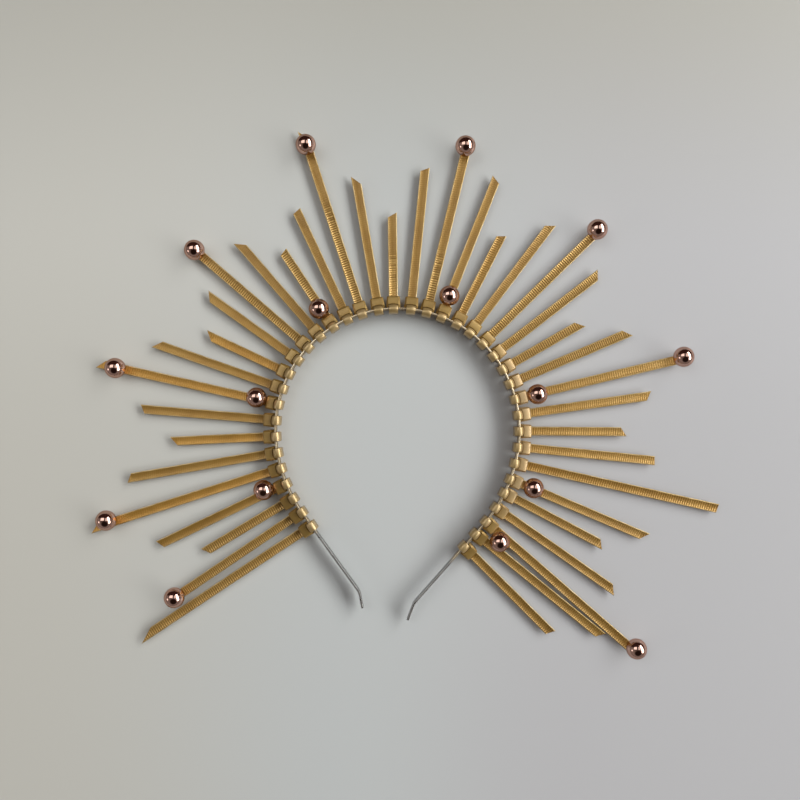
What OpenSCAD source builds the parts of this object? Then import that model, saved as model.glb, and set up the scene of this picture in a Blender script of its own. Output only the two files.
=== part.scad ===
// Spiked crown. A thin metal headband wears a row of cable ties, looped round it
// and pulled tight, whose tails stand out like rays. Round beads sit on the front
// of some of them. The crown lies on its back: X runs to its right, Y up over the
// top of the head, Z to the front. The backs of the heads stand on z = 0, and the
// origin is the centre of the headband's top curve.

/* [Headband] */
// Radius of the strip's middle line over the top of the head
band_top_r = 63.5; // [55:0.5:75]
// Radius of its middle line down the sides
band_side_r = 78.4; // [70:0.2:110]
// How far it turns from the top before the side curve starts, degrees
side_start = 97; // [80:1:110]
// How far it has turned where the left leg starts, degrees
left_turn = 126; // [110:1:140]
// How far it has turned where the right leg starts, degrees
right_turn = 131.5; // [110:0.5:140]
// Straight length of the left leg
left_leg = 48; // [20:0.5:60]
// Straight length of the right leg
right_leg = 52; // [20:0.5:60]
// Outward bend near the left end, degrees
left_flare = 25; // [0:1:40]
// Outward bend near the right end, degrees
right_flare = 20; // [0:1:40]
// Straight length beyond the left bend
left_end = 7.5; // [4:0.5:20]
// Straight length beyond the right bend
right_end = 8.7; // [4:0.1:20]
// Radius of both outward bends
flare_r = 5; // [2:0.5:20]
// Thickness of the strip
band_t = 1; // [0.6:0.1:2]
// Width of the strip, from its back edge to its front edge
band_w = 5; // [4:0.5:10]
// Size of the corners cut off the two ends
end_cut = 1; // [0.2:0.1:2]

/* [Ties] */
// Distance between neighbours along the strip
pitch = 8.46; // [8:0.02:12]
// Number of the tie that stands at the top
top_tie = 19; // [1:1:39]
// How far that tie stands to the left of the very top
top_offset = 1.4; // [0:0.1:10]
// Width of the straps
strap_w = 4.8; // [3:0.1:8]
// Thickness of the straps
strap_t = 1.2; // [0.8:0.1:2]
// Inner radius where a strap bends over the front edge of the headband
front_bend_r = 1.05; // [0.8:0.05:3]
// Inner radius where it bends under the back edge
back_bend_r = 0.6; // [0.3:0.1:2]

/* [Heads] */
// Width of a head beside the headband
head_w = 7.4; // [5:0.1:10]
// Width of its outer face
head_outer_w = 6.8; // [5:0.1:10]
// Size of a head from the headband outwards
head_l = 5.9; // [4:0.1:10]
// Size of a head from its back to its front
head_h = 8; // [5:0.1:12]
// Bevel round the outer face
head_bevel = 0.7; // [0.2:0.1:2]
// Width of the slot that the tail runs through
slot_w = 5.4; // [4:0.1:8]
// Height of the slot
slot_h = 2.1; // [1.4:0.1:4]

/* [Beads] */
// Diameter of the beads
bead_d = 10.5; // [4:0.1:16]

/* [Hidden] */
gap = 0.1;
head_back = 0;
slot_back = 2.2;
tail_back = 2.5;
tail_front = tail_back + strap_t;
band_back = tail_front + gap;
band_front = band_back + band_w;
bead_z = tail_front + gap + bead_d / 2;
arc_top = band_top_r * side_start * PI / 180;
$fn = 64;

// One row for each tie, clockwise from the lower left. The length runs from the
// middle of the strip to the sharp corner of the end. The slant is measured from
// a square cut, above zero where the corner is on the left side, looking outwards.
// The lean turns the tail to the left of square. The shift moves the tie clockwise
// along the strip from its even place.
// [length, slant, lean, shift]
ties = [
    [109.5, 62, -2.4, -0.4], [82, 45, -0.5, 0], [56, -35, 2.8, 0], [75.5, -29, 3.5, 0],
    [106, 50, 1.7, 0], [81, 30, 0, 0], [56, -39, -0.1, 0], [72, -26, 0.1, 0],
    [98.5, 45, -0.3, 0], [73, 45, 0.7, 0], [49.5, -45, 2.5, 0], [60, -42, -0.2, 0],
    [84, 45, 2.3, 0], [67, 46, 1.6, 0], [48.5, -19, 1.9, 0], [64, -17, 1, 0],
    [102, 50, 1.2, -0.4], [72, 45, 0.9, 0], [51, -29, -1, -0.6], [75.5, -25, 0.6, 0],
    [91, 45, 0.4, 0], [79.5, 31, -0.2, -0.3], [53.5, -27, 2.3, 0], [72.5, -37, -0.5, -0.4],
    [86.5, 45, -1.1, 0], [71.5, 37, -0.2, 0], [49.5, -41, -0.3, 0], [70, -42, 0.6, 0],
    [93, 45, -1.4, 0], [71.5, 32, 0.9, 0], [57, -33, -0.1, 0], [73, -5, 2.1, 0],
    [110, 9, 1.3, 0], [79.5, 41, -2.7, 0.3], [60, -35, -1.9, -0.4], [78, -40, -2.5, 0],
    [105, 45, -2.2, 0.4], [87, 36, 2.4, 0.4], [66, 28, -3.5, 0.8]
];

// Beads near the tips. The offset is to the left of the tail's middle line.
// [number of the tie, distance from the strip, offset]
tip_beads = [
    [2, 79.3, -0.5], [5, 94.5, -2], [9, 86.5, 0.2], [13, 77.5, 0], [17, 92.4, 0.4],
    [21, 88.4, 0.8], [25, 83.7, 0.8], [29, 90, 0.9], [37, 102, 1.9]
];

// Beads beside the heads, in the same columns.
base_beads = [
    [4, 11.8, -2.3], [9, 11.6, -1], [15, 11.7, 0.9], [22, 11.6, 0.4], [29, 11.7, -0.2],
    [34, 12.8, 0.7], [37, 12, -3.1]
];

function two_digits(i) = str(i < 10 ? "0" : "", i);
function tie_name(i) = str("tie_", two_digits(i));

// The strip's middle line. A station is the distance along it from the top, above
// zero to the right. Its turn is measured from the top, the same way on both sides.
function full_turn(station) = station < 0 ? left_turn : right_turn;
function arc_side(full) = band_side_r * (full - side_start) * PI / 180;
function turn_at(d, full) =
    d < arc_top ? d / band_top_r * 180 / PI
    : min(full, side_start + (d - arc_top) / band_side_r * 180 / PI);
function side_centre() =
    (band_top_r - band_side_r) * [sin(side_start), cos(side_start)];
function right_half(d, full) =
    let (turn = turn_at(d, full), leg = max(0, d - arc_top - arc_side(full)))
    d < arc_top ? band_top_r * [sin(turn), cos(turn)]
    : side_centre() + band_side_r * [sin(turn), cos(turn)]
      + leg * [cos(full), -sin(full)];
function strip_point(station) =
    let (p = right_half(abs(station), full_turn(station)))
    station < 0 ? [-p.x, p.y] : p;

// Where a tie stands, and which way its tail points.
function tie_station(i) =
    (i - top_tie) * pitch - top_offset + ties[i - 1][3];
function tie_angle(i) =
    let (s = tie_station(i))
    90 - sign(s) * turn_at(abs(s), full_turn(s)) + ties[i - 1][2];

module at_tie(i) {
    p = strip_point(tie_station(i));
    translate([p.x, p.y, 0]) rotate([0, 0, tie_angle(i)]) children();
}

// One half of the strip's middle line from the top to its end, in short straight
// steps. Each row is [x, y, turn], and the outward direction is [sin(turn), cos(turn)].
function out(turn) = [sin(turn), cos(turn)];
function row(p, turn) = [p.x, p.y, turn];
function leg_end(full, leg) =
    side_centre() + band_side_r * out(full) + leg * [cos(full), -sin(full)];
function flare_point(full, leg, bent) =
    leg_end(full, leg) + flare_r * (out(full) - out(full - bent));
function half_line(full, leg, flare, end) =
    let (last = full - flare)
    concat(
        [for (k = [0 : 48]) let (t = side_start * k / 48) row(band_top_r * out(t), t)],
        [for (k = [1 : 16]) let (t = side_start + (full - side_start) * k / 16)
            row(side_centre() + band_side_r * out(t), t)],
        [for (k = [0 : 5]) let (bent = flare * k / 5)
            row(flare_point(full, leg, bent), full - bent)],
        [row(flare_point(full, leg, flare) + end * [cos(last), -sin(last)], last)]
    );
right_line = half_line(right_turn, right_leg, right_flare, right_end);
left_line = half_line(left_turn, left_leg, left_flare, left_end);

// The line moved outwards by some distance, and a list turned round.
function moved(line, by) = [for (r = line) [r.x, r.y] + by * out(r[2])];
function mirrored(line) = [for (r = line) [-r.x, r.y, -r[2]]];
function turned_round(list) = [for (k = [len(list) - 1 : -1 : 0]) list[k]];
function all_but_first(list) = [for (k = [1 : len(list) - 1]) list[k]];

// Cuts both corners off the end of a half.
module end_corners(line) {
    tip = line[len(line) - 1];
    translate([tip.x, tip.y, 0]) rotate([0, 0, -tip[2]])
        for (z = [band_back - 1, band_front + 1])
            translate([-end_cut - 1, -3, z]) rotate([0, 45, 0]) cube([6, 6, 6]);
}

module headband() {
    line = concat(turned_round(mirrored(left_line)), all_but_first(right_line));
    color([0.72, 0.62, 0.42]) difference() {
        translate([0, 0, band_back]) linear_extrude(band_w) polygon(concat(
            moved(line, band_t / 2), turned_round(moved(line, -band_t / 2))));
        end_corners(right_line);
        mirror([1, 0, 0]) end_corners(left_line);
    }
}

// Side view of a strap that leaves its head at x = 0, climbs over the front edge,
// comes down the inner side and runs out through the slot.
module strap_side(reach) {
    inner = -2 * front_bend_r - strap_t;
    turn_z = tail_front + back_bend_r;
    translate([0, head_back + head_h / 2])
        square([strap_t, band_front - head_back - head_h / 2]);
    translate([-front_bend_r, band_front]) difference() {
        circle(front_bend_r + strap_t);
        circle(front_bend_r);
        translate([-10, -20]) square(20);
    }
    translate([inner, turn_z]) square([strap_t, band_front - turn_z]);
    translate([inner + strap_t + back_bend_r, turn_z]) difference() {
        circle(back_bend_r + strap_t);
        circle(back_bend_r);
        translate([-10, 0]) square(20);
        translate([0, -10]) square(20);
    }
    tail_start = inner + strap_t + back_bend_r;
    translate([tail_start, tail_back]) square([reach - tail_start, strap_t]);
}

// Extrudes a side view across the tie.
module across(width) {
    translate([0, width / 2, 0]) rotate([90, 0, 0]) linear_extrude(width) children();
}

module head() {
    b = head_bevel / 2;
    difference() {
        intersection() {
            linear_extrude(head_h) polygon([
                [0, -head_w / 2], [head_l - b, -head_outer_w / 2],
                [head_l, b - head_outer_w / 2], [head_l, head_outer_w / 2 - b],
                [head_l - b, head_outer_w / 2], [0, head_w / 2]
            ]);
            across(head_w) polygon([
                [0, 0], [head_l - b, 0], [head_l, b],
                [head_l, head_h - head_bevel], [head_l - head_bevel, head_h],
                [0, head_h]
            ]);
        }
        translate([-1, -slot_w / 2, slot_back]) cube([head_l + 2, slot_w, slot_h]);
    }
}

// One tie. Its head stands clear of the strip by the gap, and by what its lean
// brings one corner closer.
module tie(i) {
    length = ties[i - 1][0];
    slant = ties[i - 1][1];
    lean = ties[i - 1][2];
    stand_off = band_t / 2 + gap + head_w / 2 * sin(abs(lean));
    color([0.80, 0.64, 0.34]) at_tie(i) difference() {
        translate([stand_off, 0, 0]) {
            head();
            across(strap_w) strap_side(length + 1 - stand_off);
        }
        translate([length, sign(slant) * strap_w / 2, 0]) rotate([0, 0, -slant])
            translate([0, -20, 0]) cube([20, 40, 10]);
    }
}

module bead(row) {
    color([0.62, 0.40, 0.37]) at_tie(row[0])
        translate([row[1], row[2], bead_z]) sphere(d = bead_d);
}

headband();
for (i = [1 : len(ties)])
    tie(i);
for (i = [1 : len(tip_beads)])
    bead(tip_beads[i - 1]);
for (i = [1 : len(base_beads)])
    bead(base_beads[i - 1]);
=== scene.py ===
"""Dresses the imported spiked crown: toothed cable ties with moulded heads, mirror beads,
a headband sprayed gold with bare ends, a pale floor, soft light and the camera.

Sizes and tables are in millimetres and degrees, as in the part's source, and turn
into metres where a mesh is made. The floor, the lights and the distances of bumps are
in metres. X is the crown's right, Y over the top, Z up."""
import math
import random
import bmesh
import bpy
from mathutils import Matrix, Vector


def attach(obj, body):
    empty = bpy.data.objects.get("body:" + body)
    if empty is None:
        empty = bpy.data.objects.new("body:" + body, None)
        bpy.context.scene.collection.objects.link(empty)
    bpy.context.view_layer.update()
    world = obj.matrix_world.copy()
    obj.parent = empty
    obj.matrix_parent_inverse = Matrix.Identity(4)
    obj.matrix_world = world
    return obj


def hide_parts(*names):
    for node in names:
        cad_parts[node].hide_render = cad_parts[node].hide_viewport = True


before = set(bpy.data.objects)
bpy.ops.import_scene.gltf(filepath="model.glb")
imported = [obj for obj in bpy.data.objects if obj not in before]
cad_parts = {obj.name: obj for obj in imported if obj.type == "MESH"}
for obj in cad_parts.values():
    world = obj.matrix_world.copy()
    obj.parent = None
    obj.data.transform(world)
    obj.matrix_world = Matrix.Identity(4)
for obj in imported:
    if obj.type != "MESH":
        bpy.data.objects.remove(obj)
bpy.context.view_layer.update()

MM = 0.001

# The headband's middle line, as in the source. Its left side is -1 and its right side 1.
TOP_R, SIDE_R, SIDE_START = 63.5, 78.4, 97.0
FULL_TURN = {-1: 126.0, 1: 131.5}
LEG = {-1: 48.0, 1: 52.0}
FLARE = {-1: 25.0, 1: 20.0}
END = {-1: 7.5, 1: 8.7}
FLARE_R = 5.0
BAND_T, BAND_W, BAND_BACK = 1.0, 5.0, 3.8
BAND_FRONT = BAND_BACK + BAND_W

# The ties: their places, straps, heads and slots.
PITCH, TOP_TIE, TOP_OFFSET = 8.46, 19, 1.4
STRAP_W, STRAP_T, GAP = 4.8, 1.2, 0.1
HALF_W = STRAP_W / 2
FRONT_BEND, BACK_BEND = 1.05, 0.6
TAIL_TOP = 3.7
HEAD_W, HEAD_OUTER_W, HEAD_L, HEAD_H = 7.4, 6.8, 5.9, 8.0
SLOT_W, SLOT_LOW, SLOT_HIGH = 5.4, 2.2, 4.3

# The straps come from two lots: every other tie has slightly finer teeth. On some tails
# the paint is thin and leaves the teeth clear, on some it softens them and on others it
# fills them. On three tails it fills them from the given distance on, and on the others
# that distance lies past the tail's end.
CLEAR_TEETH = (1, 2, 3, 13, 15, 17, 21, 25, 26, 27, 28)
SOFT_TEETH = (19, 23, 29, 30, 31, 32, 33)
FILLED_TEETH = (4, 5, 6, 7, 8, 10, 12, 14, 16, 18, 20, 22)
FILLED_FROM = {17: 64.0, 19: 30.0, 21: 34.0}
PAST_THE_END = 200.0

# These tails have bright or middling paint. The other clear or softened ones have thin
# paint, and all the rest have rich paint.
BRIGHT_TAILS = (5, 7, 9, 11)
MIDDLE_TAILS = (4, 6, 8, 10, 12, 23, 33)

# Teeth: their length on even and odd ties, and how far tips, smooth parts and valleys lie
# below the raised edges, whose width is RAIL. They start inside the head.
TOOTH = (1.1, 1.2)
TIP_DEPTH, SMOOTH_DEPTH = 0.05, 0.12
FILLED_DEPTH, USUAL_DEPTH, CLEAR_DEPTH = 0.09, 0.15, 0.22
RAIL = 0.55
TEETH_START = HEAD_L - 0.4

# The loop's crowned back, and the steps of its front and back bends.
CROWN, FRONT_STEPS, BACK_STEPS = 0.3, 12, 6

# A strap is made so much longer than its tail, and the slanted cut takes the rest off.
SPARE = 3.0

# Lengths over which the valleys get shallow, and the paint gets dense, before a filled part.
SHALLOW_RUN, DENSE_RUN = 12.0, 18.0

# Slots of a tie's paints after its own.
EDGE_WEAR_AND_HIGHLIGHT, VALLEY_SHADE, DENSE_PAINT = 1, 2, 3

# Seed of the first tie's random draws, less one.
SEED = 100

# [length, slant, lean, shift], clockwise from the lower left.
TIES = [
    [109.5, 62, -2.4, -0.4], [82, 45, -0.5, 0], [56, -35, 2.8, 0], [75.5, -29, 3.5, 0],
    [106, 50, 1.7, 0], [81, 30, 0, 0], [56, -39, -0.1, 0], [72, -26, 0.1, 0],
    [98.5, 45, -0.3, 0], [73, 45, 0.7, 0], [49.5, -45, 2.5, 0], [60, -42, -0.2, 0],
    [84, 45, 2.3, 0], [67, 46, 1.6, 0], [48.5, -19, 1.9, 0], [64, -17, 1, 0],
    [102, 50, 1.2, -0.4], [72, 45, 0.9, 0], [51, -29, -1, -0.6], [75.5, -25, 0.6, 0],
    [91, 45, 0.4, 0], [79.5, 31, -0.2, -0.3], [53.5, -27, 2.3, 0], [72.5, -37, -0.5, -0.4],
    [86.5, 45, -1.1, 0], [71.5, 37, -0.2, 0], [49.5, -41, -0.3, 0], [70, -42, 0.6, 0],
    [93, 45, -1.4, 0], [71.5, 32, 0.9, 0], [57, -33, -0.1, 0], [73, -5, 2.1, 0],
    [110, 9, 1.3, 0], [79.5, 41, -2.7, 0.3], [60, -35, -1.9, -0.4], [78, -40, -2.5, 0],
    [105, 45, -2.2, 0.4], [87, 36, 2.4, 0.4], [66, 28, -3.5, 0.8],
]
# [number of the tie, distance from the strip, offset to the left of its tail]
TIP_BEADS = [
    [2, 79.3, -0.5], [5, 94.5, -2], [9, 86.5, 0.2], [13, 77.5, 0], [17, 92.4, 0.4],
    [21, 88.4, 0.8], [25, 83.7, 0.8], [29, 90, 0.9], [37, 102, 1.9],
]
BASE_BEADS = [
    [4, 11.8, -2.3], [9, 11.6, -1], [15, 11.7, 0.9], [22, 11.6, 0.4], [29, 11.7, -0.2],
    [34, 12.8, 0.7], [37, 12, -3.1],
]
BEAD_R = 5.25
BEAD_Z = TAIL_TOP + GAP + BEAD_R


# The headband's line and the places of the ties.
def out(turn):
    return Vector((math.sin(math.radians(turn)), math.cos(math.radians(turn))))


def along(turn):
    return Vector((math.cos(math.radians(turn)), -math.sin(math.radians(turn))))


ARC_TOP = TOP_R * math.radians(SIDE_START)
SIDE_CENTRE = (TOP_R - SIDE_R) * out(SIDE_START)


def half_point(d, side):
    """Point and turn on the right half's line at distance d from the top."""
    full, leg = FULL_TURN[side], LEG[side]
    arc_side = SIDE_R * math.radians(full - SIDE_START)
    if d < ARC_TOP:
        turn = math.degrees(d / TOP_R)
        return TOP_R * out(turn), turn
    if d < ARC_TOP + arc_side:
        turn = SIDE_START + math.degrees((d - ARC_TOP) / SIDE_R)
        return SIDE_CENTRE + SIDE_R * out(turn), turn
    corner = SIDE_CENTRE + SIDE_R * out(full)
    d -= ARC_TOP + arc_side
    if d < leg:
        return corner + d * along(full), full
    corner = corner + leg * along(full)
    d -= leg
    bent = min(FLARE[side], math.degrees(d / FLARE_R))
    point = corner + FLARE_R * (out(full) - out(full - bent))
    rest = max(0.0, d - FLARE_R * math.radians(FLARE[side]))
    return point + rest * along(full - bent), full - bent


def half_length(side):
    return (ARC_TOP + SIDE_R * math.radians(FULL_TURN[side] - SIDE_START) + LEG[side]
            + FLARE_R * math.radians(FLARE[side]) + END[side])


def strip_point(station):
    """Point and outward direction at a station, above zero to the right."""
    side = -1 if station < 0 else 1
    p, turn = half_point(abs(station), side)
    n = out(turn)
    return Vector((side * p.x, p.y)), Vector((side * n.x, n.y))


def tie_place(i):
    """Matrix from a tie's own millimetres to metres in the row's frame."""
    station = (i - TOP_TIE) * PITCH - TOP_OFFSET + TIES[i - 1][3]
    p, n = strip_point(station)
    angle = math.atan2(n.y, n.x) + math.radians(TIES[i - 1][2])
    return (Matrix.Scale(MM, 4) @ Matrix.Translation((p.x, p.y, 0.0))
            @ Matrix.Rotation(angle, 4, "Z"))


# Mesh helpers.
def sweep(verts, faces, rings):
    """Joins closed rings of points one to the next, and caps both ends."""
    base, n = len(verts), len(rings[0])
    for ring in rings:
        verts.extend(ring)
    for k in range(len(rings) - 1):
        for j in range(n):
            a, b = base + k * n + j, base + k * n + (j + 1) % n
            faces.append((a, b, b + n, a + n))
    faces.append(tuple(base + j for j in reversed(range(n))))
    last = base + (len(rings) - 1) * n
    faces.append(tuple(last + j for j in range(n)))


def make(name, bm, place, sharp=35.0):
    """Moves the mesh to its place and makes an object of it, with edges over so many
    degrees left sharp."""
    bmesh.ops.transform(bm, matrix=place, verts=bm.verts)
    bmesh.ops.recalc_face_normals(bm, faces=bm.faces)
    mesh = bpy.data.meshes.new(name)
    bm.to_mesh(mesh)
    bm.free()
    mesh.shade_smooth()
    mesh.set_sharp_from_angle(angle=math.radians(sharp))
    obj = bpy.data.objects.new(name, mesh)
    bpy.context.scene.collection.objects.link(obj)
    return obj


def as_bmesh(verts, faces):
    mesh = bpy.data.meshes.new("scratch")
    mesh.from_pydata([tuple(v) for v in verts], [], faces)
    bm = bmesh.new()
    bm.from_mesh(mesh)
    bpy.data.meshes.remove(mesh)
    return bm


# A tie's strap.
def strap_section(valley, crown):
    """Closed section as (across, depth): depth 0 is the toothed side."""
    core = HALF_W - RAIL
    front = [(HALF_W, 0.28), (HALF_W - 0.1, 0.06), (HALF_W - 0.22, 0.0),
             (core + 0.04, 0.0), (core - 0.06, valley)]
    back = [(-HALF_W, STRAP_T - 0.3), (-HALF_W + 0.12, STRAP_T - 0.08),
            (-HALF_W + 0.32, STRAP_T), (-1.1, STRAP_T + 0.8 * crown),
            (0.0, STRAP_T + crown)]
    return (front + [(-w, h) for w, h in reversed(front)] + back
            + [(-w, h) for w, h in reversed(back[:-1])])


def valley_depth(i, x):
    """Depth of a tie's valleys at distance x from its root, less where paint fills them."""
    deep = USUAL_DEPTH
    if i in FILLED_TEETH:
        deep = FILLED_DEPTH
    elif i in CLEAR_TEETH + SOFT_TEETH:
        deep = CLEAR_DEPTH
    clear = min(1.0, max(0.0, (FILLED_FROM.get(i, PAST_THE_END) - x) / SHALLOW_RUN))
    return FILLED_DEPTH + (deep - FILLED_DEPTH) * clear


def loop_path():
    """The smooth part of a strap, from its root in the head up over the strip's front edge,
    down its inner side and back under it. Each station has a point on the toothed side, x
    and z of the direction away from the teeth, their depth and the crown of the back."""
    path = [(0.0, z, 1.0, 0.0, SMOOTH_DEPTH, crown)
            for z, crown in ((4.7, 0.0), (7.6, 0.25), (8.2, CROWN), (BAND_FRONT, CROWN))]
    for k in range(1, FRONT_STEPS):
        a = math.pi * k / FRONT_STEPS
        crown = CROWN - 0.2 * k / FRONT_STEPS
        path.append((-FRONT_BEND + FRONT_BEND * math.cos(a),
                     BAND_FRONT + FRONT_BEND * math.sin(a),
                     math.cos(a), math.sin(a), SMOOTH_DEPTH, crown))
    down = -2 * FRONT_BEND
    turn_z = TAIL_TOP + BACK_BEND
    for z in (BAND_FRONT, 6.5, turn_z):
        path.append((down, z, -1.0, 0.0, SMOOTH_DEPTH, 0.0))
    for k in range(1, BACK_STEPS):
        a = math.pi + math.pi / 2 * k / BACK_STEPS
        path.append((down + BACK_BEND + BACK_BEND * math.cos(a),
                     turn_z + BACK_BEND * math.sin(a),
                     math.cos(a), math.sin(a), SMOOTH_DEPTH, 0.0))
    path.append((down + BACK_BEND, TAIL_TOP, 0.0, -1.0, SMOOTH_DEPTH, 0.0))
    return path


def tail_path(i, reach, jitter):
    """The tail's stations. Its teeth start inside the head, shifted by the jitter."""
    tooth = TOOTH[i % 2]
    x = TEETH_START + jitter
    path = [(x - 0.6, TAIL_TOP, 0.0, -1.0, SMOOTH_DEPTH, 0.0)]
    while x < reach:
        valley = valley_depth(i, x)
        for share, depth in ((0.0, valley), (0.24, valley), (0.38, TIP_DEPTH),
                             (0.86, TIP_DEPTH)):
            path.append((x + share * tooth, TAIL_TOP, 0.0, -1.0, depth, 0.0))
        x += tooth
    path.append((x, TAIL_TOP, 0.0, -1.0, TIP_DEPTH, 0.0))
    return path


def strap_rings(i, reach, jitter):
    return [[Vector((px + nx * h, w, pz + nz * h)) for w, h in strap_section(valley, crown)]
            for px, pz, nx, nz, valley, crown in loop_path() + tail_path(i, reach, jitter)]


def paint_tail(strap, i, draw):
    """Gives the tail's raised edges, valleys and filled teeth the slots of their paints. The
    edges are painted paler, partly scuffed and partly as a highlight, and the valleys darker,
    as a painted shade.
    """
    low, back = TAIL_TOP - 0.12, TAIL_TOP - 0.4
    for face in strap.faces:
        middle = face.calc_center_median()
        if middle.x < HEAD_L or middle.z < back:
            continue
        dense = (middle.x + DENSE_RUN - FILLED_FROM.get(i, PAST_THE_END)) / DENSE_RUN
        if abs(middle.y) > HALF_W - RAIL:
            # Edge tops: scuffed paint with a painted highlight.
            face.material_index = EDGE_WEAR_AND_HIGHLIGHT if middle.z > low else 0
        elif i in CLEAR_TEETH and middle.z < low:
            # Valleys: darker paint as a painted shade.
            face.material_index = VALLEY_SHADE
        elif draw.random() < dense:
            face.material_index = DENSE_PAINT


def cut_tail(strap, length, slant):
    """Cuts the tail off at a slant and closes its end."""
    a = math.radians(slant)
    bmesh.ops.bisect_plane(
        strap, geom=strap.verts[:] + strap.edges[:] + strap.faces[:],
        plane_co=(length, math.copysign(HALF_W, slant), 0),
        plane_no=(math.cos(a), -math.sin(a), 0), clear_outer=True)
    rim = [e for e in strap.edges if e.is_boundary]
    end = bmesh.ops.edgeloop_fill(strap, edges=rim)["faces"]
    bmesh.ops.triangulate(strap, faces=end)


# A tie's head, as stations from the strip outwards.
# [name, distance, inset of its sides, drop of its top, flare of its slot]
HEAD_ROWS = [
    ["back", 0.0, 0.0, 0.2, 0.0], ["groove", 1.4, 0.0, 0.08, 0.0],
    ["lip", 1.45, 0.0, 0.0, 0.0], ["round", 1.6, 0.0, 0.0, 0.0],
    ["face", HEAD_L - 0.75, 0.0, 0.0, 0.0], ["bevel", HEAD_L - 0.22, 0.08, 0.3, 0.0],
    ["end", HEAD_L, 0.3, 0.65, 0.18],
]
HEAD_TOP_Y = [2.62, 2.5, 1.7, 0.9, 0.0, -0.9, -1.7, -2.5, -2.62]
SHOULDER, CHAMFER, TOP_SCALE = 0.7, 0.4, 1.12
# The recess that the strap's root stands in, and its bulging outer edge.
RECESS_HALF, RECESS_DEPTH = 2.55, 1.5
LIP_GAP, LIP_BULGE, LIP_HALF, LIP_STEP, LIP_ROUND = 0.3, 0.38, 2.5, 0.04, 0.14
SLOT_CORNER, SLOT_MIDDLE, SLOT_ROOF = 0.2, 3.3, 0.95
# The pawl, by distance and height of its lower edge.
PAWL_HALF, PAWL_ROOF = 1.5, SLOT_HIGH + 0.3
PAWL = [[1.6, 4.2], [HEAD_L - 1.1, 3.85], [HEAD_L - 0.5, 4.1]]


def lip(w):
    """Outer edge of the recess at distance w from the head's middle."""
    return STRAP_T + LIP_GAP + LIP_BULGE * (1 - min(1.0, abs(w) / LIP_HALF) ** 2)


def head_loop(name, x, inset, drop):
    """Outline of the head at one station."""
    taper = 1 - (1 - HEAD_OUTER_W / HEAD_W) * x / HEAD_L
    half = HEAD_W / 2 * taper - inset
    shoulder = HEAD_H - SHOULDER - drop
    scale = 1.0 if name in ("back", "groove", "lip", "round") else taper * TOP_SCALE
    ring = [(x, half, shoulder)]
    for y in HEAD_TOP_Y:
        tx, tz = x, HEAD_H - drop
        sunk = abs(y) < RECESS_HALF
        if name == "back" and sunk:
            tz = HEAD_H - RECESS_DEPTH
        elif name == "groove":
            tx = lip(y) - LIP_STEP
            tz = HEAD_H - RECESS_DEPTH if sunk else HEAD_H
        elif name == "lip":
            tx, tz = lip(y), HEAD_H - (LIP_ROUND if sunk else 0.0)
        elif name == "round":
            tx = lip(y) + LIP_ROUND
        ring.append((tx, y * scale - math.copysign(inset, y) * (abs(y) > 2), tz))
    level = HEAD_H / 2
    ring += [(x, -half, shoulder), (x, -half, level), (x, -half, inset + CHAMFER),
             (x, -half + CHAMFER, inset), (x, 0.0, inset), (x, half - CHAMFER, inset),
             (x, half, inset + CHAMFER), (x, half, level)]
    return [Vector(p) for p in ring]


def slot_loop(x, flare):
    """Outline of the slot at one station, with as many points as the head's."""
    w, low, high = SLOT_W / 2 + flare, SLOT_LOW - flare, SLOT_HIGH + flare
    c, level = SLOT_CORNER, SLOT_MIDDLE
    ring = [(x, w, high - c)]
    ring += [(x, y / HEAD_TOP_Y[0] * w * SLOT_ROOF, high) for y in HEAD_TOP_Y]
    ring += [(x, -w, high - c), (x, -w, level), (x, -w, low + c), (x, -w + c, low),
             (x, 0.0, low), (x, w - c, low), (x, w, low + c), (x, w, level)]
    return [Vector(p) for p in ring]


def head_mesh():
    """The head with its slot, and the pawl that hangs over the tail in the slot."""
    outer = [head_loop(name, x, inset, drop) for name, x, inset, drop, _ in HEAD_ROWS]
    inner = [slot_loop(x, flare) for _, x, _, _, flare in HEAD_ROWS]
    verts, faces = [], []
    for ring in outer + inner:
        verts.extend(ring)
    n, rows = len(outer[0]), len(outer)
    shift = rows * n
    for k in range(rows - 1):
        for j in range(n):
            a, b = k * n + j, k * n + (j + 1) % n
            faces.append((a, b, b + n, a + n))
            faces.append((a + shift, a + n + shift, b + n + shift, b + shift))
    for k in (0, rows - 1):
        for j in range(n):
            a, b = k * n + j, k * n + (j + 1) % n
            quad = (a, b, b + shift, a + shift)
            faces.append(quad if k else quad[::-1])
    w, roof = PAWL_HALF, PAWL_ROOF
    sweep(verts, faces, [[Vector((x, y, z)) for y, z in (
        (w, roof), (-w, roof), (-w, low), (w, low))] for x, low in PAWL])
    return as_bmesh(verts, faces)


def tie(i):
    """One tie: its strap, painted and cut, with the head added to the same mesh."""
    length, slant, lean, _ = TIES[i - 1]
    stand_off = BAND_T / 2 + GAP + HEAD_W / 2 * math.sin(math.radians(abs(lean)))
    draw = random.Random(SEED + i)
    verts, faces = [], []
    sweep(verts, faces, strap_rings(i, length + SPARE - stand_off, draw.uniform(0, 1)))
    strap = as_bmesh(verts, faces)
    paint_tail(strap, i, draw)
    bmesh.ops.translate(strap, verts=strap.verts, vec=(stand_off, 0, 0))
    cut_tail(strap, length, slant)
    head = head_mesh()
    bmesh.ops.translate(head, verts=head.verts, vec=(stand_off, 0, 0))
    scratch = bpy.data.meshes.new("scratch")
    head.to_mesh(scratch)
    head.free()
    strap.from_mesh(scratch)
    bpy.data.meshes.remove(scratch)
    return make("tie_%02d_toothed" % i, strap, tie_place(i))


# The headband and the beads.
STATION_STEP = 1.2
END_STEPS = (0.05, 0.15, 0.3, 0.5, 0.75)
BAND_EDGE, END_CORNER = 0.16, 1.0


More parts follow.
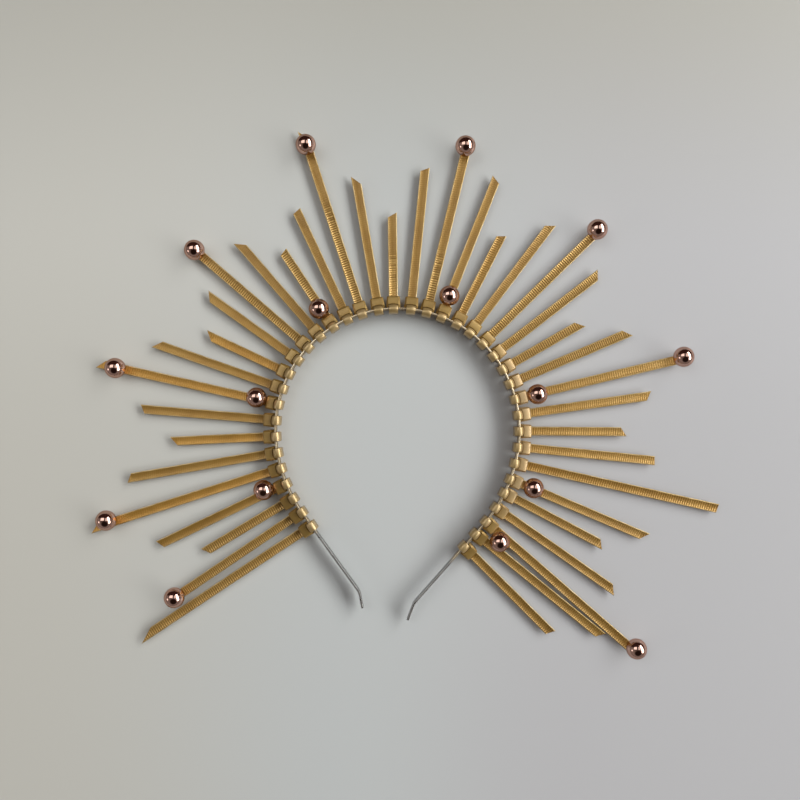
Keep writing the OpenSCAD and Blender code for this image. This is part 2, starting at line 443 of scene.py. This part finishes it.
def band_ring(station, left, right):
    """The strip's section at a station, narrower where the corners of its ends are round."""
    p, n = strip_point(station)
    to_end = min(station - left, right - station)
    pull = 0.0
    if to_end < END_CORNER:
        pull = END_CORNER - math.sqrt(max(0.0, END_CORNER ** 2 - (END_CORNER - to_end) ** 2))
    h, t = BAND_W / 2 - pull, BAND_T / 2
    section = []
    for sx, sz in ((1, 1), (-1, 1), (-1, -1), (1, -1)):
        arc = [(0, BAND_EDGE), (BAND_EDGE * 0.3, BAND_EDGE * 0.3), (BAND_EDGE, 0)]
        if sx * sz < 0:
            arc = arc[::-1]
        section += [(sx * (t - a), sz * (h - b)) for a, b in arc]
    middle = BAND_BACK + BAND_W / 2
    return [Vector((p.x + n.x * a, p.y + n.y * a, middle + b)) for a, b in section]


def band():
    """A rounded strip swept along the line, with closer stations at both ends."""
    left, right = -half_length(-1), half_length(1)
    count = int((right - left) / STATION_STEP)
    stations = [left + (right - left) * k / count for k in range(count + 1)]
    stations += [left + d for d in END_STEPS] + [right - d for d in END_STEPS]
    verts, faces = [], []
    sweep(verts, faces, [band_ring(s, left, right) for s in sorted(stations)])
    return make("headband_strip", as_bmesh(verts, faces), Matrix.Scale(MM, 4), sharp=40.0)


def bead(name, row):
    bm = bmesh.new()
    bmesh.ops.create_uvsphere(bm, u_segments=72, v_segments=36, radius=BEAD_R)
    place = tie_place(row[0]) @ Matrix.Translation((row[1], row[2], BEAD_Z))
    return make(name, bm, place, sharp=60.0)


# Node helpers.
def node_tree(name):
    mat = bpy.data.materials.new(name)
    mat.use_nodes = True
    tree = mat.node_tree
    return mat, tree, tree.nodes["Principled BSDF"]


def noise(tree, scale, detail=3.0):
    """Noise over the object coordinates, which are in metres."""
    coord = tree.nodes.new("ShaderNodeTexCoord")
    tex = tree.nodes.new("ShaderNodeTexNoise")
    tex.inputs["Scale"].default_value = scale
    tex.inputs["Detail"].default_value = detail
    tex.inputs["Roughness"].default_value = 0.55
    tree.links.new(coord.outputs["Object"], tex.inputs["Vector"])
    return tex.outputs["Fac"]


def ramp(tree, source, stops, ease=False):
    node = tree.nodes.new("ShaderNodeValToRGB")
    while len(node.color_ramp.elements) < len(stops):
        node.color_ramp.elements.new(0.5)
    for element, (at, colour) in zip(node.color_ramp.elements, stops):
        element.position = at
        element.color = (*colour, 1.0)
    if ease:
        node.color_ramp.interpolation = "EASE"
    tree.links.new(source, node.inputs["Fac"])
    return node.outputs["Color"]


def step(tree, source, start, end, low=0.0, high=1.0, smooth=False):
    """Goes from the low to the high value while the source goes from start to end."""
    node = tree.nodes.new("ShaderNodeMapRange")
    if smooth:
        node.interpolation_type = "SMOOTHSTEP"
    node.inputs["From Min"].default_value = start
    node.inputs["From Max"].default_value = end
    node.inputs["To Min"].default_value = low
    node.inputs["To Max"].default_value = high
    tree.links.new(source, node.inputs["Value"])
    return node.outputs["Result"]


def between(tree, source, start, end, smooth=False):
    """Goes from 0 to 1 between two places, or two heights, in millimetres."""
    return step(tree, source, start * MM, end * MM, smooth=smooth)


def roughen(tree, shader, source, low, high, smooth=False):
    """Roughness that follows a noise, which mostly lies between 0.3 and 0.7."""
    tree.links.new(step(tree, source, 0.3, 0.7, low, high, smooth),
                   shader.inputs["Roughness"])


def scaled_sum(tree, value, factor, addend):
    node = tree.nodes.new("ShaderNodeMath")
    node.operation = "MULTIPLY_ADD"
    tree.links.new(value, node.inputs[0])
    node.inputs[1].default_value = factor
    tree.links.new(addend, node.inputs[2])
    return node.outputs["Value"]


def bump(tree, shader, height, strength, distance):
    node = tree.nodes.new("ShaderNodeBump")
    node.inputs["Strength"].default_value = strength
    node.inputs["Distance"].default_value = distance
    tree.links.new(height, node.inputs["Height"])
    tree.links.new(node.outputs["Normal"], shader.inputs["Normal"])


def plain(tree, colour):
    node = tree.nodes.new("ShaderNodeRGB")
    node.outputs[0].default_value = (*colour, 1.0)
    return node.outputs[0]


def mix(tree, share, first, second):
    """Mixes two colours, which are this node's inputs 6 and 7 and give its output 2."""
    node = tree.nodes.new("ShaderNodeMix")
    node.data_type = "RGBA"
    tree.links.new(share, node.inputs[0])
    tree.links.new(first, node.inputs[6])
    tree.links.new(second, node.inputs[7])
    return node.outputs[2]


def coordinates(tree):
    """Separated object coordinates, in metres."""
    coord = tree.nodes.new("ShaderNodeTexCoord")
    split = tree.nodes.new("ShaderNodeSeparateXYZ")
    tree.links.new(coord.outputs["Object"], split.inputs["Vector"])
    return split.outputs


# The gold paint's colours: four strengths for the tails, then the heads, the paler heads and
# the loops, these two with a painted highlight.
RICH = [(0.3, (0.29, 0.155, 0.022)), (0.5, (0.33, 0.18, 0.027)), (0.72, (0.36, 0.205, 0.036))]
MIDDLE = [(0.3, (0.345, 0.187, 0.03)), (0.5, (0.395, 0.218, 0.036)), (0.72, (0.43, 0.248, 0.047))]
BRIGHT = [(0.3, (0.46, 0.24, 0.035)), (0.5, (0.52, 0.275, 0.043)), (0.72, (0.57, 0.31, 0.056))]
THIN = [(0.3, (0.47, 0.28, 0.065)), (0.5, (0.53, 0.32, 0.08)), (0.72, (0.58, 0.365, 0.105))]
HEADS = [(0.3, (0.29, 0.172, 0.031)), (0.5, (0.345, 0.212, 0.042)), (0.72, (0.385, 0.248, 0.056))]
PAINTED_HIGHLIGHT_HEADS = [(0.3, (0.36, 0.236, 0.09)), (0.5, (0.43, 0.29, 0.12)), (0.72, (0.475, 0.34, 0.155))]
PAINTED_HIGHLIGHT_LOOPS = [(0.3, (0.41, 0.28, 0.10)), (0.5, (0.48, 0.34, 0.14)), (0.72, (0.54, 0.39, 0.18))]

# Heights between which tails turn into heads and heads into loops, whose paler paint is a
# painted highlight, and places across the crown between which the heads get paler, as a
# painted highlight. Then the end of the spray along the left leg, how ragged it is, and
# how much lower it lies on the right leg.
TAIL_TO_HEAD, HEAD_TO_LOOP = (3.75, 4.8), (8.1, 8.8)
HEADS_GET_PAINTED_HIGHLIGHT = (48, 62)
SPRAY_END, SPRAY_RAGGED, SPRAY_LOWER_RIGHT = (-51, -48), 6, 14.6

# Places on the floor between which it turns from warm to cool, and from pale to darker.
FLOOR_ACROSS, FLOOR_BEYOND = (-220, 240), (80, 270)


# Materials.
def gold_paint(tree, shader, where, tails):
    """Sets the sheen of the sprayed gold and gives back its colour. The tails lie lowest,
    the heads above them, painted paler on the right as a highlight, and the loops, highest,
    are painted palest, as a highlight."""
    patches = noise(tree, 90.0)
    tail, left_head, painted_highlight_head, loop = [ramp(tree, patches, stops)
                                         for stops in (tails, HEADS, PAINTED_HIGHLIGHT_HEADS, PAINTED_HIGHLIGHT_LOOPS)]
    head = mix(tree, between(tree, where["X"], *HEADS_GET_PAINTED_HIGHLIGHT), left_head, painted_highlight_head)
    raised = between(tree, where["Z"], *TAIL_TO_HEAD)
    tree.links.new(step(tree, raised, 0.0, 1.0, 0.4, 0.58), shader.inputs["Coat Weight"])
    shader.inputs["Coat Roughness"].default_value = 0.36
    shader.inputs["Coat IOR"].default_value = 1.8
    top = between(tree, where["Z"], *HEAD_TO_LOOP)
    return mix(tree, top, mix(tree, raised, tail, head), loop)


def gold_material(name, tails):
    mat, tree, shader = node_tree(name)
    shader.inputs["Metallic"].default_value = 0.65
    colour = gold_paint(tree, shader, coordinates(tree), tails)
    tree.links.new(colour, shader.inputs["Base Color"])
    grain = noise(tree, 1500.0, 2.0)
    roughen(tree, shader, grain, 0.38, 0.46)
    bump(tree, shader, grain, 0.2, 0.0002)
    return mat


def valley_shade_material():
    """Darker paint between the teeth: a painted shade."""
    mat, tree, shader = node_tree("gold_painted_shade_between_teeth")
    shader.inputs["Metallic"].default_value = 0.5
    colour = ramp(tree, noise(tree, 160.0), [
        (0.3, (0.24, 0.135, 0.028)), (0.7, (0.30, 0.175, 0.042))])
    tree.links.new(colour, shader.inputs["Base Color"])
    shader.inputs["Roughness"].default_value = 0.55
    return mat


def edge_wear_and_highlight_material():
    """The tails' raised edges, painted paler: partly scuffed paint, partly a painted highlight.
    """
    mat, tree, shader = node_tree("rubbed_gold_edge_and_highlight")
    shader.inputs["Metallic"].default_value = 0.7
    patches = noise(tree, 160.0)
    colour = ramp(tree, patches, [
        (0.3, (0.40, 0.26, 0.08)), (0.5, (0.55, 0.40, 0.17)), (0.7, (0.66, 0.52, 0.28))])
    tree.links.new(colour, shader.inputs["Base Color"])
    roughen(tree, shader, patches, 0.4, 0.34)
    return mat


def band_material():
    """Gold paint over the top, with the ties' painted highlights, bare steel at both ends, its
    sides painted dark as a shade and its front edge painted bright as a highlight.
    """
    mat, tree, shader = node_tree("band_steel_and_gold")
    where = coordinates(tree)
    # The spray ends lower on the right leg than on the left, and its end is ragged.
    on_right = between(tree, where["X"], -2, 2)
    height = scaled_sum(tree, on_right, SPRAY_LOWER_RIGHT * MM, where["Y"])
    ragged = scaled_sum(tree, noise(tree, 900.0), SPRAY_RAGGED * MM, height)
    sprayed = between(tree, ragged, *SPRAY_END)
    # The front edge is painted bright on the gold and on the steel: a painted highlight.
    front_edge_highlight = between(tree, where["Z"], BAND_FRONT - 0.2, BAND_FRONT - 0.1)
    patches = noise(tree, 260.0)
    highlight_gold = ramp(tree, patches, [(0.3, (0.70, 0.56, 0.34)), (0.7, (0.86, 0.74, 0.52))])
    # The steel's sides are painted dark and its front edge bright: painted shade and a painted
    # highlight.
    dark = ramp(tree, patches, [(0.3, (0.10, 0.10, 0.095)), (0.7, (0.17, 0.165, 0.16))])
    bare = ramp(tree, patches, [(0.3, (0.42, 0.41, 0.39)), (0.7, (0.60, 0.59, 0.56))])
    painted = mix(tree, front_edge_highlight, gold_paint(tree, shader, where, RICH), highlight_gold)
    steel = mix(tree, front_edge_highlight, dark, bare)
    tree.links.new(mix(tree, sprayed, steel, painted), shader.inputs["Base Color"])
    shader.inputs["Metallic"].default_value = 0.9
    roughen(tree, shader, patches, 0.26, 0.36)
    bump(tree, shader, noise(tree, 1500.0, 2.0), 0.12, 0.0001)
    return mat


def bead_material():
    mat, tree, shader = node_tree("mirror_rose_gold")
    shader.inputs["Metallic"].default_value = 1.0
    patches = noise(tree, 180.0)
    colour = ramp(tree, patches, [(0.3, (0.56, 0.35, 0.28)), (0.7, (0.66, 0.435, 0.355))])
    tree.links.new(colour, shader.inputs["Base Color"])
    shader.inputs["Specular Tint"].default_value = (0.53, 0.42, 0.38, 1.0)
    roughen(tree, shader, patches, 0.04, 0.09)
    bump(tree, shader, noise(tree, 420.0, 2.0), 0.06, 0.0003)
    return mat


def floor_material():
    """Pale and smooth, a little warmer to the left and darker beyond the crown's top."""
    mat, tree, shader = node_tree("pale_floor")
    where = coordinates(tree)
    across = between(tree, where["X"], *FLOOR_ACROSS, smooth=True)
    beyond = between(tree, where["Y"], *FLOOR_BEYOND, smooth=True)
    patches = noise(tree, 3.0, 0.0)
    colour = ramp(tree, scaled_sum(tree, patches, 0.3, across), [
        (0.0, (0.575, 0.567, 0.508)), (0.6, (0.55, 0.58, 0.578)),
        (1.0, (0.515, 0.522, 0.535))], ease=True)
    darker = plain(tree, (0.452, 0.45, 0.405))
    tree.links.new(mix(tree, beyond, colour, darker), shader.inputs["Base Color"])
    roughen(tree, shader, patches, 0.3, 0.34, smooth=True)
    shader.inputs["Specular IOR Level"].default_value = 0.32
    return mat


# The pieces, each in place of the node that it hides.
def dress(piece, material, slot, *nodes):
    piece.data.materials.append(material)
    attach(piece, "root")
    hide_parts(*nodes)


gold = gold_material("sprayed_gold", RICH)
thin_gold = gold_material("thin_sprayed_gold", THIN)
middle_gold = gold_material("middle_sprayed_gold", MIDDLE)
bright_gold = gold_material("bright_sprayed_gold", BRIGHT)
golds = {number: thin_gold for number in CLEAR_TEETH + SOFT_TEETH}
golds.update({number: bright_gold for number in BRIGHT_TAILS})
golds.update({number: middle_gold for number in MIDDLE_TAILS})
other_paints = (edge_wear_and_highlight_material(), valley_shade_material(), gold)
rose = bead_material()
beads = []
dress(band(), band_material(), "band", "headband")
for number in range(1, len(TIES) + 1):
    piece = tie(number)
    dress(piece, golds.get(number, gold), "ties", "tie_%02d" % number)
    for paint in other_paints:
        piece.data.materials.append(paint)
for kind, rows in (("tip", TIP_BEADS), ("base", BASE_BEADS)):
    for number, row in enumerate(rows, 1):
        node = "%s_bead_%d" % (kind, number)
        beads.append(bead(node + "_mirror", row))
        dress(beads[-1], rose, "beads", node)

# The floor.
bm = bmesh.new()
bmesh.ops.create_grid(bm, x_segments=1, y_segments=1, size=3.0)
floor = make("floor", bm, Matrix.Identity(4))
floor.data.materials.append(floor_material())


# The lights, placed in metres.
def panel(name, at, size, radiance, flat=False, colour=(1, 1, 1)):
    """An area light. A flat one faces straight down, and the others face the origin."""
    light = bpy.data.lights.new(name, "AREA")
    light.shape = "RECTANGLE"
    light.size, light.size_y = size
    light.energy = radiance * math.pi * size[0] * size[1]
    light.color = colour
    obj = bpy.data.objects.new(name, light)
    obj.location = at
    if not flat:
        obj.rotation_euler = (-Vector(at)).to_track_quat("-Z", "Y").to_euler()
    obj.visible_camera = False
    bpy.context.scene.collection.objects.link(obj)
    return obj


def let_past(light, pieces):
    """Keeps the given beads from blocking this light."""
    past = bpy.data.collections.new("beads_that_let_light_past")
    for piece in pieces:
        past.objects.link(piece)
    for item in past.collection_objects:
        item.light_linking.link_state = "EXCLUDE"
    light.light_linking.blocker_collection = past


# Two panels in one place make the key light. The beads block only the first of them, so
# that their shadows stay faint.
KEY = {"at": (2.62, 0.56, 2.09), "size": (5.0, 1.3), "colour": (1.0, 0.995, 0.98)}
panel("key", radiance=2.4, **KEY)
let_past(panel("key_past_the_beads", radiance=4.4, **KEY), beads)
panel("ceiling_right", (0.90, 0.60, 1.5), (1.3, 1.0), 1.1, flat=True)
panel("ceiling_left", (-0.82, 0.66, 1.5), (1.25, 0.95), 1.8, flat=True)
panel("side_right", (1.78, -0.48, 0.78), (0.45, 0.4), 2.4)
panel("side_left", (-1.78, -0.40, 0.85), (0.45, 0.4), 2.4)


def room():
    """A dim room with a dark wall beyond the top of the crown and a soft unlit patch of
    the ceiling. The camera itself sees a pale backdrop."""
    world = bpy.data.worlds.new("room")
    bpy.context.scene.world = world
    world.use_nodes = True
    sky = world.node_tree
    coord = sky.nodes.new("ShaderNodeTexCoord")
    split = sky.nodes.new("ShaderNodeSeparateXYZ")
    sky.links.new(coord.outputs["Generated"], split.inputs["Vector"])
    colour = ramp(sky, split.outputs["Z"], [
        (0.0, (0.22, 0.20, 0.195)), (0.3, (0.30, 0.275, 0.265)), (0.7, (0.24, 0.215, 0.205)),
        (1.0, (0.14, 0.12, 0.11))])
    wall = step(sky, split.outputs["Y"], 0.28, 0.5)
    colour = mix(sky, wall, colour, plain(sky, (0.045, 0.022, 0.018)))
    away = sky.nodes.new("ShaderNodeVectorMath")
    away.operation = "DISTANCE"
    sky.links.new(coord.outputs["Generated"], away.inputs[0])
    away.inputs[1].default_value = (0.05, -0.55, 0.83)
    patch = step(sky, away.outputs["Value"], 0.68, 0.48)
    colour = mix(sky, patch, colour, plain(sky, (0.02, 0.012, 0.01)))
    path = sky.nodes.new("ShaderNodeLightPath")
    colour = mix(sky, path.outputs["Is Camera Ray"], colour, plain(sky, (0.55, 0.56, 0.55)))
    sky.links.new(colour, sky.nodes["Background"].inputs["Color"])
    sky.nodes["Background"].inputs["Strength"].default_value = 1.0


room()

# The camera looks straight down. Its focal length is in pixels of an 800 pixel picture.
CAMERA_AT = (1.41, 15.9, 425.3)
SENSOR, FOCAL_PIXELS, PICTURE_PIXELS = 36.0, 802.3, 800.0
lens = bpy.data.cameras.new("camera")
lens.sensor_width = SENSOR
lens.lens = SENSOR * FOCAL_PIXELS / PICTURE_PIXELS
lens.clip_start, lens.clip_end = 0.01, 20.0
camera = bpy.data.objects.new("camera", lens)
camera.location = [v * MM for v in CAMERA_AT]
bpy.context.scene.collection.objects.link(camera)
bpy.context.scene.camera = camera
bpy.context.scene.view_settings.view_transform = "Standard"
